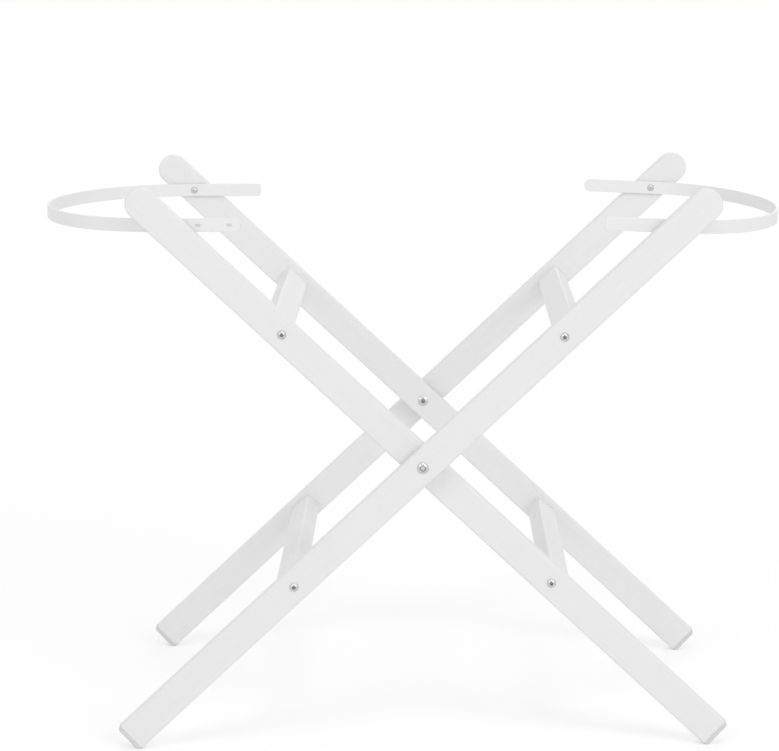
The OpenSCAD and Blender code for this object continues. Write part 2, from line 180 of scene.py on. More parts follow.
LACQUER = {
    "outer": white_lacquer("white_lacquer_outer_legs", (0, -LEG_ANGLE, 0)),
    "inner": white_lacquer("white_lacquer_inner_legs", (0, LEG_ANGLE, 0)),
    "rail": white_lacquer("white_lacquer_rails", (0, 0, pi / 2)),
}
print("lacquers:", [m.name for m in LACQUER.values()])

# %% [markdown]
# ## White powder coat on steel
# The hoops are flat steel strip, dusted with white powder and baked. Powder flows into a thicker film than
# paint, so edges look soft and the surface has a fine orange peel, about a millimetre from crest to crest.
# The peel could be modelled as dents, but a bump that comes from a noise is lighter and keeps its size
# along the whole bow. A greyer copy of the coat paints the shade in the bottom of a punched mark.

# %% The powder coat
def powder_coat(name, clean, dusty):
    """Baked white powder: as white as the lacquer, a little glossier, with a fine even orange peel."""
    made, tree = new_material(name)
    place = add(tree, "ShaderNodeTexCoord").outputs["Object"]
    peel_size = 1.2 * MM
    peel = add(tree, "ShaderNodeTexNoise", {"Vector": place, "Scale": 1 / peel_size, "Detail": 2,
                                            "Roughness": 0.4})
    film_size = 40 * MM
    film = add(tree, "ShaderNodeTexNoise", {"Vector": place, "Scale": 1 / film_size, "Detail": 2})
    colour = add(tree, "ShaderNodeMix", {0: film.outputs[0], MIX_A: linear(clean),
                                         MIX_B: linear(dusty)}, data_type="RGBA")
    gloss = add(tree, "ShaderNodeMapRange", {"Value": film.outputs[0], "To Min": 0.42, "To Max": 0.52})
    bump = add(tree, "ShaderNodeBump", {"Height": peel.outputs[0], "Distance": 0.03 * MM, "Strength": 1})
    coat = add(tree, "ShaderNodeBsdfPrincipled", {
        "Base Color": colour.outputs[MIX_COLOUR], "Roughness": gloss.outputs[0], "IOR": 1.5,
        "Normal": bump.outputs[0]})
    add(tree, "ShaderNodeOutputMaterial", {"Surface": coat.outputs[0]})
    return made


POWDER = powder_coat("white_powder_coat", "#EFEFEF", "#ECECEC")
# A greyer copy of the coat, which paints the shade in the punched marks
POWDER_PAINTED_SHADE = powder_coat("powder_coat_painted_shade_in_marks", "#DDDDDD", "#D8D8D8")
print("coats:", POWDER.name, POWDER_PAINTED_SHADE.name)

# %% [markdown]
# ## Bright zinc plate
# Bolts, nuts, pins and screws are cold headed steel with bright zinc plate. Plating follows the marks of
# the tooling, so the gloss varies from spot to spot, and handling leaves it a little cloudy. A single
# roughness would make it look like chrome, so one noise steers both the tint and the gloss. A darker,
# rougher copy of the plate paints the shade deep in a socket. Metal keeps the default IOR, because
# its colour and roughness say all that the eye sees.

# %% The zinc plate
def zinc_plate(name, clear, cloudy, gloss_range):
    """Plated steel: a cool grey mirror, slightly clouded, with small dull spots."""
    made, tree = new_material(name)
    place = add(tree, "ShaderNodeTexCoord").outputs["Object"]
    spot_size = 2.5 * MM
    spots = add(tree, "ShaderNodeTexNoise", {"Vector": place, "Scale": 1 / spot_size, "Detail": 4})
    colour = add(tree, "ShaderNodeMix", {0: spots.outputs[0], MIX_A: linear(clear),
                                         MIX_B: linear(cloudy)}, data_type="RGBA")
    gloss = add(tree, "ShaderNodeMapRange", {"Value": spots.outputs[0], "From Min": 0.3, "From Max": 0.7,
                                             "To Min": gloss_range[0], "To Max": gloss_range[1]})
    mark_size = 0.5 * MM
    marks = add(tree, "ShaderNodeTexNoise", {"Vector": place, "Scale": 1 / mark_size, "Detail": 2})
    bump = add(tree, "ShaderNodeBump", {"Height": marks.outputs[0], "Distance": 0.01 * MM, "Strength": 1})
    plate = add(tree, "ShaderNodeBsdfPrincipled", {
        "Base Color": colour.outputs[MIX_COLOUR], "Metallic": 1, "Roughness": gloss.outputs[0],
        "Normal": bump.outputs[0]})
    add(tree, "ShaderNodeOutputMaterial", {"Surface": plate.outputs[0]})
    return made


ZINC = zinc_plate("bright_zinc_plate", "#D4D5D6", "#BDBEC0", (0.18, 0.34))
# A darker, rougher copy of the plate, which paints the shade inside a socket
SOCKET = zinc_plate("zinc_painted_shade_in_sockets", "#9C9D9F", "#808183", (0.4, 0.6))
print("plates:", ZINC.name, SOCKET.name)

# %% [markdown]
# ## Natural nylon
# Thin moulded washers of nylon keep steel and lacquer from rubbing. Natural nylon is milky: light goes a
# millimetre or so into it. An opaque grey would do for a ring that hardly shows, but a small share of
# subsurface light gives the soft edge that tells nylon from paint.

# %% Nylon
def natural_nylon():
    """Moulded natural nylon: milky off white, half matt, faintly uneven."""
    made, tree = new_material("natural_nylon")
    place = add(tree, "ShaderNodeTexCoord").outputs["Object"]
    flow_size = 3 * MM
    flow = add(tree, "ShaderNodeTexNoise", {"Vector": place, "Scale": 1 / flow_size, "Detail": 2})
    colour = add(tree, "ShaderNodeMix", {0: flow.outputs[0], MIX_A: linear("#EFEDE6"),
                                         MIX_B: linear("#E4E1D8")}, data_type="RGBA")
    gloss = add(tree, "ShaderNodeMapRange", {"Value": flow.outputs[0], "To Min": 0.4, "To Max": 0.55})
    plastic = add(tree, "ShaderNodeBsdfPrincipled", {
        "Base Color": colour.outputs[MIX_COLOUR], "Roughness": gloss.outputs[0], "IOR": 1.53,
        "Subsurface Weight": 0.2, "Subsurface Radius": (1 * MM, 1 * MM, 1 * MM)})
    add(tree, "ShaderNodeOutputMaterial", {"Surface": plastic.outputs[0]})
    return made


NYLON = natural_nylon()
print("washers:", NYLON.name)

# %% [markdown]
# ## Pale grey rubber
# The pads under the feet are moulded from pale grey rubber: almost matt, with a fine grain and a trace of
# dust. A painted picture could give both, but noise has no seam and fits any shape, so the pads need no
# unwrapping.

# %% Rubber
def grey_rubber():
    """Moulded rubber: pale grey, almost matt, with a fine even grain and a trace of dust."""
    made, tree = new_material("pale_grey_rubber")
    place = add(tree, "ShaderNodeTexCoord").outputs["Object"]
    dust_size = 12 * MM
    dust = add(tree, "ShaderNodeTexNoise", {"Vector": place, "Scale": 1 / dust_size, "Detail": 3})
    colour = add(tree, "ShaderNodeMix", {0: dust.outputs[0], MIX_A: linear("#DBDBD9"),
                                         MIX_B: linear("#D4D4D2")}, data_type="RGBA")
    gloss = add(tree, "ShaderNodeMapRange", {"Value": dust.outputs[0], "To Min": 0.6, "To Max": 0.75})
    grain_size = 0.8 * MM
    grain = add(tree, "ShaderNodeTexNoise", {"Vector": place, "Scale": 1 / grain_size, "Detail": 2})
    bump = add(tree, "ShaderNodeBump", {"Height": grain.outputs[0], "Distance": 0.03 * MM, "Strength": 1})
    skin = add(tree, "ShaderNodeBsdfPrincipled", {
        "Base Color": colour.outputs[MIX_COLOUR], "Roughness": gloss.outputs[0], "IOR": 1.52,
        "Normal": bump.outputs[0]})
    add(tree, "ShaderNodeOutputMaterial", {"Surface": skin.outputs[0]})
    return made


RUBBER = grey_rubber()
print("pads:", RUBBER.name)

# %% [markdown]
# ## Bare beech
# The dowels are turned from bare beech. Its short dark flecks are the wood's rays, cut across. They could
# be drawn one by one, but a noise that is stretched along the dowel gives them their length, and scatters
# them by itself.

# %% Bare beech
def bare_beech():
    """Turned, unfinished beech: pale pinkish brown, matt, with short dark flecks along the dowel."""
    made, tree = new_material("bare_beech")
    place = add(tree, "ShaderNodeTexCoord").outputs["Object"]
    fleck_size = (0.5 * MM, 4 * MM, 0.5 * MM)
    along = add(tree, "ShaderNodeMapping", {"Vector": place, "Scale": fleck_size}, vector_type="TEXTURE")
    flecks = add(tree, "ShaderNodeTexNoise", {"Vector": along.outputs[0], "Scale": 1, "Detail": 3})
    share = add(tree, "ShaderNodeMapRange", {"Value": flecks.outputs[0], "From Min": 0.45, "From Max": 0.7})
    colour = add(tree, "ShaderNodeMix", {0: share.outputs[0], MIX_A: linear("#D8B58C"),
                                         MIX_B: linear("#B08458")}, data_type="RGBA")
    bump = add(tree, "ShaderNodeBump", {"Height": flecks.outputs[0], "Distance": 0.05 * MM, "Strength": 1})
    wood = add(tree, "ShaderNodeBsdfPrincipled", {
        "Base Color": colour.outputs[MIX_COLOUR], "Roughness": 0.7, "IOR": 1.5, "Normal": bump.outputs[0]})
    add(tree, "ShaderNodeOutputMaterial", {"Surface": wood.outputs[0]})
    return made


BEECH = bare_beech()
print("dowels:", BEECH.name)

# %% [markdown]
# ## From a mesh to a piece
# An object could be moved and turned to its place. Here every piece is built about the origin in handy axes
# and then carried to its place inside its mesh, so that its object stays at the origin, unturned, and
# follows its body without further sums. All faces are shaded smooth, edges sharper than 35 degrees stay
# crisp, and a Weighted Normal modifier keeps broad faces flat right up to their rounded edges. A piece
# rides on the body of the node that it stands for, and hides that node.

# %% A piece for a node
CRISP = radians(35)
SLOTS = {part["node"]: part["material_slot"] for part in frame["record"]["subparts"]}


def piece(name, bm, node, *materials):
    """Make an object of the mesh, in place of a CAD node."""
    for face in bm.faces:
        face.smooth = True
    for edge in bm.edges:
        edge.smooth = edge.calc_face_angle(0) < CRISP
    mesh = bpy.data.meshes.new(name)
    bm.to_mesh(mesh)
    bm.free()
    for material in materials:
        mesh.materials.append(material)
    made = bpy.data.objects.new(name, mesh)
    bpy.context.scene.collection.objects.link(made)
    made.modifiers.new("flat faces stay flat", "WEIGHTED_NORMAL").keep_sharp = True
    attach(made, frame["nodes"][node]["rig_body"])
    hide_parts(node)
    print(name, len(mesh.polygons), "faces")


print("material slots:", sorted(set(SLOTS.values())))

# %% [markdown]
# ## The legs
# A leg is a flat board with one end sawn to a half circle and the other sawn square. The outline could be
# typed as points, but a spin makes an even round end out of one vertex, and an extrusion gives the
# thickness. The long edges are rounded over last, with a bevel, as they are in the workshop. A rubber pad
# is glued to the square end and goes on in the leg's section. Both are eased by a hair where they meet,
# which draws a fine dark line there.

# %% A leg without its bores
LEG_W = 35 * MM
TOP_REACH = 423.5 * MM
FOOT_REACH, PAD_T, FOOT_R = 454 * MM, 5 * MM, 4.5 * MM
LEG_END = PAD_T - FOOT_REACH
EDGE_R, END_EASE = 2.5 * MM, 0.4 * MM
END_STEPS, EDGE_STEPS, EASE_STEPS = 40, 6, 2
# Places that lie closer together than this count as one
NEAR = 0.05 * MM


def round_edges(bm, edges, radius, segments):
    """Round off edges, as a router or a sanding block does."""
    bmesh.ops.bevel(bm, geom=edges, offset=radius, segments=segments, profile=0.5, affect="EDGES",
                    material=-1)


def at_leg_end(edge):
    """True for an edge in the plane where a leg meets its pad."""
    return all(abs(vert.co.x - LEG_END) < NEAR for vert in edge.verts)


def thickened(bm):
    """Give a flat shape the leg's thickness and its rounded edges."""
    bmesh.ops.translate(bm, vec=(0, -LEG_T / 2, 0), verts=bm.verts)
    drawn = bmesh.ops.extrude_face_region(bm, geom=bm.faces[:])["geom"]
    far_side = [g for g in drawn if isinstance(g, bmesh.types.BMVert)]
    bmesh.ops.translate(bm, vec=(0, LEG_T, 0), verts=far_side)
    bmesh.ops.recalc_face_normals(bm, faces=bm.faces)
    rims = [e for e in bm.edges if abs(e.verts[0].co.y - e.verts[1].co.y) < EDGE_R and not at_leg_end(e)]
    round_edges(bm, rims, EDGE_R, EDGE_STEPS)
    round_edges(bm, [e for e in bm.edges if at_leg_end(e)], END_EASE, EASE_STEPS)
    return bm


def leg_board():
    """A leg with rounded edges, its middle plane at y = 0 and the crossing at the origin."""
    bm = bmesh.new()
    tip = bm.verts.new((TOP_REACH, 0, -LEG_W / 2))
    arc = bmesh.ops.spin(bm, geom=[tip], cent=(TOP_REACH, 0, 0), axis=(0, 1, 0), angle=-pi, steps=END_STEPS)
    outline = [arc["geom_last"][0]]
    for z in (LEG_W / 2, -LEG_W / 2):
        outline.append(bm.verts.new((LEG_END, 0, z)))
        bm.edges.new(outline[-2:])
    bm.edges.new((outline[-1], tip))
    bmesh.ops.contextual_create(bm, geom=bm.edges[:])
    return thickened(bm)


print("leg length:", round((TOP_REACH + LEG_W / 2 - LEG_END) / MM, 1), "mm")

# %% [markdown]
# ## Where the legs stand
# The legs are two pairs, and each pair has one leg in front and one at the rear. Every leg could be built
# from sizes of its own, but then each change would have to be made four times. So all are made alike, and
# one function hands out the four places, for the pads as well as for the boards.

# %% Places of the legs
SIDES = {"front": -1, "rear": 1}


def leg_places():
    """Frame, side, way outwards along the frame's own Y, and place of each of the four legs."""
    for frame_name, (axes, inner_face) in FRAMES.items():
        for side, world_way in SIDES.items():
            way = world_way if frame_name == "outer" else -world_way
            yield frame_name, side, way, axes @ Matrix.Translation((0, way * (inner_face + LEG_T / 2), 0))


print("legs:", [f"{frame_name} {side}" for frame_name, side, way, place in leg_places()])

# %% [markdown]
# ## The foot pads
# A pad could be the leg's own end in another finish, but it is a moulding that can come off, so it is a
# piece by itself. It starts as a rectangle whose two outer corners are rounded with a vertex bevel, and
# gets its thickness as the leg does. The stand rests on the lower corners of its pads, so the floor plane
# cuts a narrow flat there.

# %% Foot pads
CORNER_STEPS = 10
# Straight down, as a leg's own axes see it
DOWN = Vector((-sin(LEG_ANGLE), 0, -cos(LEG_ANGLE)))


def foot_pad():
    """A pad in the leg's own axes."""
    bm = bmesh.new()
    spot = Matrix.Translation((LEG_END - PAD_T / 2, 0, 0)) @ Matrix.Rotation(pi / 2, 4, "X")
    side_view = spot @ Matrix.Diagonal((PAD_T, LEG_W, 1, 1))
    bmesh.ops.create_grid(bm, x_segments=1, y_segments=1, size=0.5, matrix=side_view)
    corners = [vert for vert in bm.verts if vert.co.x < LEG_END - NEAR]
    bmesh.ops.bevel(bm, geom=corners, offset=FOOT_R, segments=CORNER_STEPS, profile=0.5, affect="VERTICES",
                    material=-1)
    thickened(bm)
    everything = bm.verts[:] + bm.edges[:] + bm.faces[:]
    floor_cut = bmesh.ops.bisect_plane(bm, geom=everything, plane_co=PIVOT.z * DOWN, plane_no=DOWN,
                                       clear_outer=True)["geom_cut"]
    bmesh.ops.contextual_create(bm, geom=[g for g in floor_cut if isinstance(g, bmesh.types.BMEdge)])
    return bm


for frame_name, side, way, place in leg_places():
    pad = foot_pad()
    bmesh.ops.transform(pad, matrix=place, verts=pad.verts)
    piece(f"{frame_name}_{side}_moulded_pad", pad, f"{frame_name}_{side}_foot_pad", RUBBER)

# %% [markdown]
# ## Drills and punches
# Bores, grooves, sockets and slots are made as in the workshop: a tool with the shape of the hole is taken
# away from the block. The hole could be planned into the mesh face by face, but a Boolean modifier puts it
# anywhere, also where two bores meet. A tool starts a little outside the block, so that it breaks cleanly
# through the face.

# %% Cutting tools
OVER = 1 * MM
ROD_SIDES = 40


def rod(bm, start, end, d, segments=ROD_SIDES):
    """Add a round bar of diameter d from one point to another."""
    start, end = Vector(start), Vector(end)
    turn = (end - start).to_track_quat("Z", "Y").to_matrix().to_4x4()
    bmesh.ops.create_cone(bm, cap_ends=True, segments=segments, radius1=d / 2, radius2=d / 2,
                          depth=(end - start).length, matrix=Matrix.Translation((start + end) / 2) @ turn)


def cut(block, *tools):
    """Cut tools out of a block, one after the other, as a drill or a punch does."""
    for tool in tools:
        shapes = []
        for shape in (block, tool):
            mesh = bpy.data.meshes.new("shape")
            shape.to_mesh(mesh)
            shape.free()
            shapes.append(bpy.data.objects.new("shape", mesh))
            bpy.context.scene.collection.objects.link(shapes[-1])
        boolean = shapes[0].modifiers.new("cut", "BOOLEAN")
        boolean.operation = "DIFFERENCE"
        boolean.solver = "EXACT"
        boolean.object = shapes[1]
        block = bmesh.new()
        block.from_object(shapes[0], bpy.context.evaluated_depsgraph_get())
        for mesh in [shape.data for shape in shapes]:
            bpy.data.meshes.remove(mesh)
    return block


print("a tool starts", OVER / MM, "mm outside the block")

# %% [markdown]
# ## Bores in the legs
# Each leg is drilled for the bolts, dowels and screw that it holds, from its inner face, which looks at the
# other leg of its frame. Bores for dowels, screws and pins are blind, and those for bolts go through. They
# could be left out where no one looks, but then bolts and pins would stick in solid wood, which shows when
# a piece is taken off. Lists give the reach from the crossing, the diameter and the depth of each bore.

# %% Bores
BOLT_D, DOWEL_D, SCREW_D, SLEEVE_D, STOP_PIN_D = 6 * MM, 6 * MM, 4 * MM, 9 * MM, 4 * MM
UPPER_BOLT, LOWER_BOLT, BOLT_TO_DOWEL = 213 * MM, 196.5 * MM, 15 * MM
UPPER_DOWEL, LOWER_DOWEL = UPPER_BOLT + BOLT_TO_DOWEL, LOWER_BOLT + BOLT_TO_DOWEL
SCREW_INSET = 36.5 * MM
SCREW_REACH = TOP_REACH - SCREW_INSET
DOWEL_DEPTH, SCREW_DEPTH, SLEEVE_DEPTH, STOP_PIN_DEPTH = 10.1 * MM, 14.1 * MM, 12.1 * MM, 10.1 * MM
STOP_PIN_REACH = 11.5 * MM
# Room around a bolt or a dowel in its bore
FIT = 0.05 * MM

THROUGH = LEG_T + OVER
COMMON_BORES = [
    (UPPER_BOLT, BOLT_D, THROUGH),
    (-LOWER_BOLT, BOLT_D, THROUGH),
    (UPPER_DOWEL, DOWEL_D, DOWEL_DEPTH),
    (-LOWER_DOWEL, DOWEL_D, DOWEL_DEPTH),
    (SCREW_REACH, SCREW_D, SCREW_DEPTH),
]
OUTER_BORES = [
    (0, SLEEVE_D, SLEEVE_DEPTH),
    (0, BOLT_D, THROUGH),
    (STOP_PIN_REACH, STOP_PIN_D, STOP_PIN_DEPTH),
]
INNER_BORES = [(0, SLEEVE_D, THROUGH)]


def drilled(bm, bores, way):
    """Drill bores, given as reach, diameter and depth, from the leg's inner face. Way points outwards."""
    face = -way * LEG_T / 2
    for reach, d, depth in bores:
        drill = bmesh.new()
        rod(drill, (reach, face - way * OVER, 0), (reach, face + way * depth, 0), d + 2 * FIT)
        bm = cut(bm, drill)
    return bm


print("bores in an outer leg:", len(COMMON_BORES + OUTER_BORES))
print("bores in an inner leg:", len(COMMON_BORES + INNER_BORES))

# %% [markdown]
# ## The stop groove, and the legs in place
# An inner leg turns on the sleeve nut, so its bore goes right through. A short curved groove in its outer
# face takes the stop pin that the outer leg carries, and its ends stop the opening and the folding. It
# could be drilled as a row of holes that overlap, but a rectangle that is swept with a spin gives the
# router's path in one go.

# %% Legs
GROOVE_W, GROOVE_DEPTH, GROOVE_STEPS = 4.6 * MM, 7.3 * MM, 24
# Where the stop pin stands in an inner leg's own axes, with the stand open and with it folded
OPEN_ANGLE = pi - 2 * LEG_ANGLE
FOLDED_ANGLE = OPEN_ANGLE - radians(joints["fold"]["range_deg"][1])


def stop_groove(way):
    """The router's path for the stop pin, in the outer face of an inner leg."""
    bm = bmesh.new()
    face = way * LEG_T / 2
    bmesh.ops.create_grid(bm, x_segments=1, y_segments=1, size=0.5)
    bmesh.ops.scale(bm, vec=(GROOVE_W, GROOVE_DEPTH + OVER, 1), verts=bm.verts)
    bmesh.ops.translate(bm, vec=(STOP_PIN_REACH, face - way * (GROOVE_DEPTH - OVER) / 2, 0), verts=bm.verts)
    end_turn = asin(GROOVE_W / 2 / STOP_PIN_REACH)
    first, last = FOLDED_ANGLE - end_turn, OPEN_ANGLE + end_turn
    bmesh.ops.rotate(bm, cent=(0, 0, 0), matrix=Matrix.Rotation(-first, 3, "Y"), verts=bm.verts)
    bmesh.ops.spin(bm, geom=bm.verts[:] + bm.edges[:] + bm.faces[:], cent=(0, 0, 0), axis=(0, 1, 0),
                   angle=first - last, steps=GROOVE_STEPS)
    bmesh.ops.recalc_face_normals(bm, faces=bm.faces)
    return bm


for frame_name, side, way, place in leg_places():
    board = drilled(leg_board(), COMMON_BORES, way)
    if frame_name == "outer":
        board = drilled(board, OUTER_BORES, way)
    else:
        board = cut(drilled(board, INNER_BORES, way), stop_groove(way))
    bmesh.ops.transform(board, matrix=place, verts=board.verts)
    node = f"{frame_name}_{side}_leg"
    piece(node + "_board", board, node, LACQUER[frame_name])

# %% [markdown]
# ## The rails
# A rail is a plain bar with the legs' edge rounding, sawn square where it butts against the legs. It could
# be extruded from its section, but a cube that is stretched and then rounded takes fewer steps. Its ends
# are eased even less than the legs' square ends, because hardly a line shows where they meet the legs. A
# barrel nut is let in from the under side near each end, the bolt comes in from the end, and a dowel beside
# it keeps the rail from turning.

# %% Rails
RAIL_W, RAIL_T = 30 * MM, 21 * MM
BARREL_D, BARREL_LEN, BARREL_INSET = 10 * MM, 14 * MM, 32 * MM
BOLT_TIP, DOWEL_IN_RAIL = 41.1 * MM, 14.1 * MM
RAIL_EASE = 0.15 * MM
BOTH_WAYS = (-1, 1)


def rail_bar(inner_face):
    """A drilled rail along Y between two inner faces, with the middle of its section at the origin."""
    bm = bmesh.new()
    bmesh.ops.create_cube(bm, size=1, matrix=Matrix.Diagonal((RAIL_W, 2 * inner_face, RAIL_T, 1)))
    round_edges(bm, [e for e in bm.edges if e.calc_length() > RAIL_W + OVER], EDGE_R, EDGE_STEPS)
    ends = [f for f in bm.faces if abs(f.calc_center_median().y) > inner_face - NEAR]
    round_edges(bm, list({e for f in ends for e in f.edges}), RAIL_EASE, EASE_STEPS)
    bolts, dowels, barrels = bmesh.new(), bmesh.new(), bmesh.new()
    bolt_x, dowel_x = -BOLT_TO_DOWEL / 2, BOLT_TO_DOWEL / 2
    for way in BOTH_WAYS:
        end = way * (inner_face + OVER)
        rod(bolts, (bolt_x, end, 0), (bolt_x, way * (inner_face - BOLT_TIP), 0), BOLT_D + 2 * FIT)
        rod(dowels, (dowel_x, end, 0), (dowel_x, way * (inner_face - DOWEL_IN_RAIL), 0), DOWEL_D + 2 * FIT)
        nut_y = way * (inner_face - BARREL_INSET)
        rod(barrels, (bolt_x, nut_y, -RAIL_T), (bolt_x, nut_y, BARREL_LEN / 2 + FIT), BARREL_D + 2 * FIT)
    return cut(bm, bolts, dowels, barrels)


RAIL_SPOTS = {
    "upper": Matrix.Translation((UPPER_BOLT + BOLT_TO_DOWEL / 2, 0, 0)),
    "lower": Matrix.Translation((-LOWER_BOLT - BOLT_TO_DOWEL / 2, 0, 0)) @ Matrix.Rotation(pi, 4, "Z"),
}

for frame_name, (axes, inner_face) in FRAMES.items():
    for level, spot in RAIL_SPOTS.items():
        bar = rail_bar(inner_face)
        bmesh.ops.transform(bar, matrix=axes @ spot, verts=bar.verts)
        node = f"{frame_name}_{level}_rail"
        piece(node + "_bar", bar, node, LACQUER["rail"])

# %% [markdown]
# ## The hoops
# A hoop is flat steel strip, bent between rollers to a bow with two straight ends, of which one is round at
# its tip and the other square. A curve with a bevelled section could follow the bow, but its ends could not
# be rounded. So it is first made as a sheet: an upright edge is spun round half a circle, the circle is
# stretched to the bow's half ellipse, and the two ends are drawn out straight. The corners are easy to
# round while it is still a sheet.

# %% A hoop as a sheet
STRIP_H = 15 * MM
HOOP_TAIL, HOOP_LEAD, SQUARE_R = 82 * MM, 8 * MM, 3 * MM
BOW_STEPS, TIP_STEPS = 96, 12


def bow_sheet(half, bow):
    """The outside face of a hoop, with its screws on the Y axis, its bow at +X and its round end at +Y."""
    bm = bmesh.new()
    ends = [bm.edges.new([bm.verts.new((0, -1, z * STRIP_H / 2)) for z in (-1, 1)])]
    swept = bmesh.ops.spin(bm, geom=ends[0].verts[:] + ends, cent=(0, 0, 0), axis=(0, 0, 1), angle=pi,
                           steps=BOW_STEPS)
    ends += [g for g in swept["geom_last"] if isinstance(g, bmesh.types.BMEdge)]
    bmesh.ops.scale(bm, vec=(bow, half, 1), verts=bm.verts)
    bmesh.ops.translate(bm, vec=(HOOP_LEAD, 0, 0), verts=bm.verts)
    for end, corner_r in zip(ends, (SQUARE_R, STRIP_H / 2 - NEAR)):
        drawn = bmesh.ops.extrude_edge_only(bm, edges=[end])["geom"]
        tip = [g for g in drawn if isinstance(g, bmesh.types.BMVert)]
        bmesh.ops.translate(bm, vec=(-HOOP_TAIL - HOOP_LEAD, 0, 0), verts=tip)
        bmesh.ops.bevel(bm, geom=tip, offset=corner_r, segments=TIP_STEPS, profile=0.5, affect="VERTICES",
                        material=-1)
    return bm


print("straight end of a hoop:", round((HOOP_TAIL + HOOP_LEAD) / MM, 1), "mm")

# %% [markdown]
# ## From sheet to strip
# Solidifying the sheet gives the strip its thickness, and a bevel gives it the soft arris that shows under
# its coat. The strip is drilled for its screws, and near the round end a punch has left two shallow marks.
# They could be painted on, but a mark that is cut shades itself as the real one does. The faces inside it
# take the second finish of the piece, a greyer coat, which paints extra shade into the mark.

# %% A punched strip
STRIP_T, STRIP_ARRIS, ARRIS_STEPS = 3 * MM, 0.7 * MM, 3
MARK_LEN, MARK_H, MARK_DEPTH, MARK_INSET, MARK_PITCH = 6.5 * MM, 3.5 * MM, 0.8 * MM, 13 * MM, 34.5 * MM
# Faces that meet at more than this angle make an arris
ARRIS = radians(60)
SECOND_FINISH = 1


def hoop_strip(half, bow):
    """A whole hoop, punched and drilled."""
    bm = bow_sheet(half, bow)
    bmesh.ops.recalc_face_normals(bm, faces=bm.faces)
    tip = max(bm.faces, key=lambda f: f.calc_center_median().x)
    if tip.normal.x < 0:
        bmesh.ops.reverse_faces(bm, faces=bm.faces)
    bmesh.ops.solidify(bm, geom=bm.faces[:], thickness=STRIP_T)
    bmesh.ops.recalc_face_normals(bm, faces=bm.faces)
    round_edges(bm, [e for e in bm.edges if e.calc_face_angle(0) > ARRIS], STRIP_ARRIS, ARRIS_STEPS)
    drill, punch = bmesh.new(), bmesh.new()
    rod(drill, (0, -half - OVER, 0), (0, half + OVER, 0), SCREW_D + 2 * FIT)
    for inset in (MARK_INSET, MARK_INSET + MARK_PITCH):
        spot = Matrix.Translation((inset - HOOP_TAIL, 0, 0))
        stretch = spot @ Matrix.Diagonal((MARK_LEN / MARK_H, 1, 1, 1))
        known = len(punch.verts)
        rod(punch, (0, half - MARK_DEPTH, 0), (0, half + OVER, 0), MARK_H)
        punch.verts.ensure_lookup_table()
        bmesh.ops.transform(punch, matrix=stretch, verts=punch.verts[known:])
    made = cut(bm, drill, punch)
    # Painted shade: faces inside the marks take the greyer coat
    for face in made.faces:
        at = face.calc_center_median()
        if at.x < -SCREW_D and abs(at.z) < MARK_H / 2 and half - 2 * MARK_DEPTH < at.y < half - NEAR:
            face.material_index = SECOND_FINISH
    return made


print("strip:", round(STRIP_H / MM, 1), "by", round(STRIP_T / MM, 1), "mm")

# %% [markdown]
# ## Hoops on their screws
# The left hoop hangs on the inner legs and the right one on the outer legs, each on two screws, with
# washers between hoop and legs. Both droop a little in the photograph, and not by the same angle. They
# could be set level, but then they would not lie where they show. The joints say where the screws are.

# %% Hoops
HOOP_WASHER_T = 1 * MM
LEFT_BOW, LEFT_DROOP = 146.5 * MM, radians(0.2)
RIGHT_BOW, RIGHT_DROOP = 121.5 * MM, radians(2.4)


def screw_axes(side, turn, droop):
    """A hoop's own axes, at its screws. Turn points its bow left or right, and droop lowers it."""
    at = Matrix.Translation(Vector(joints[f"{side}_hoop_swing"]["pos_m"]))
    return at @ Matrix.Rotation(turn, 4, "Z") @ Matrix.Rotation(droop, 4, "Y")


# Turn, droop, half the width and length of the bow of each hoop
HOOPS = {
    "left": (pi, LEFT_DROOP, INNER_Y - HOOP_WASHER_T, LEFT_BOW),
    "right": (0, RIGHT_DROOP, OUTER_Y - HOOP_WASHER_T, RIGHT_BOW),
}

for side, (turn, droop, half, bow) in HOOPS.items():
    strip = hoop_strip(half, bow)
    bmesh.ops.transform(strip, matrix=screw_axes(side, turn, droop), verts=strip.verts)
    piece(f"{side}_hoop_strip", strip, f"{side}_hoop", POWDER, POWDER_PAINTED_SHADE)

# %% [markdown]
# ## Bolts, nuts and screws
# A cold headed bolt is round about its axis. It could be put together from cylinders and a slice of a
# sphere, but it is turned here as on a lathe, which leaves no seams: half of its outline is drawn once and
# spun all the way round. The dome is an arc, spun from a single vertex. Threads stay hidden in the wood and
# the nuts, so they are left out.

# %% Turned pieces
LIP = 0.4 * MM
TURN_STEPS, DOME_STEPS = 48, 12
SAME_SPOT = 0.001 * MM
CHAMFER = 0.6 * MM


def turned(d, h, below):
    """A domed head of diameter d and height h on z = 0, and an outline below it, as radius and height."""
    bm = bmesh.new()
    rise = h - LIP
    dome_r = (d * d / 4 + rise * rise) / (2 * rise)
    top = bm.verts.new((0, 0, h))
    arc = bmesh.ops.spin(bm, geom=[top], cent=(0, 0, h - dome_r), axis=(0, 1, 0), angle=asin(d / 2 / dome_r),
                         steps=DOME_STEPS)
    last = arc["geom_last"][0]
    for r, z in [(d / 2, 0)] + below:
        last = bmesh.ops.extrude_vert_indiv(bm, verts=[last])["verts"][0]
        last.co = (r, 0, z)
    bmesh.ops.spin(bm, geom=bm.verts[:] + bm.edges[:], cent=(0, 0, 0), axis=(0, 0, 1), angle=2 * pi,
                   steps=TURN_STEPS, use_merge=True)
    bmesh.ops.remove_doubles(bm, verts=bm.verts, dist=SAME_SPOT)
    bmesh.ops.recalc_face_normals(bm, faces=bm.faces)
    return bm


def shank(d, length):
    """The outline below a head: a round shank with a chamfered end."""
    return [(d / 2, 0), (d / 2, CHAMFER - length), (d / 2 - CHAMFER, -length), (0, -length)]


print("sides of a turned piece:", TURN_STEPS)
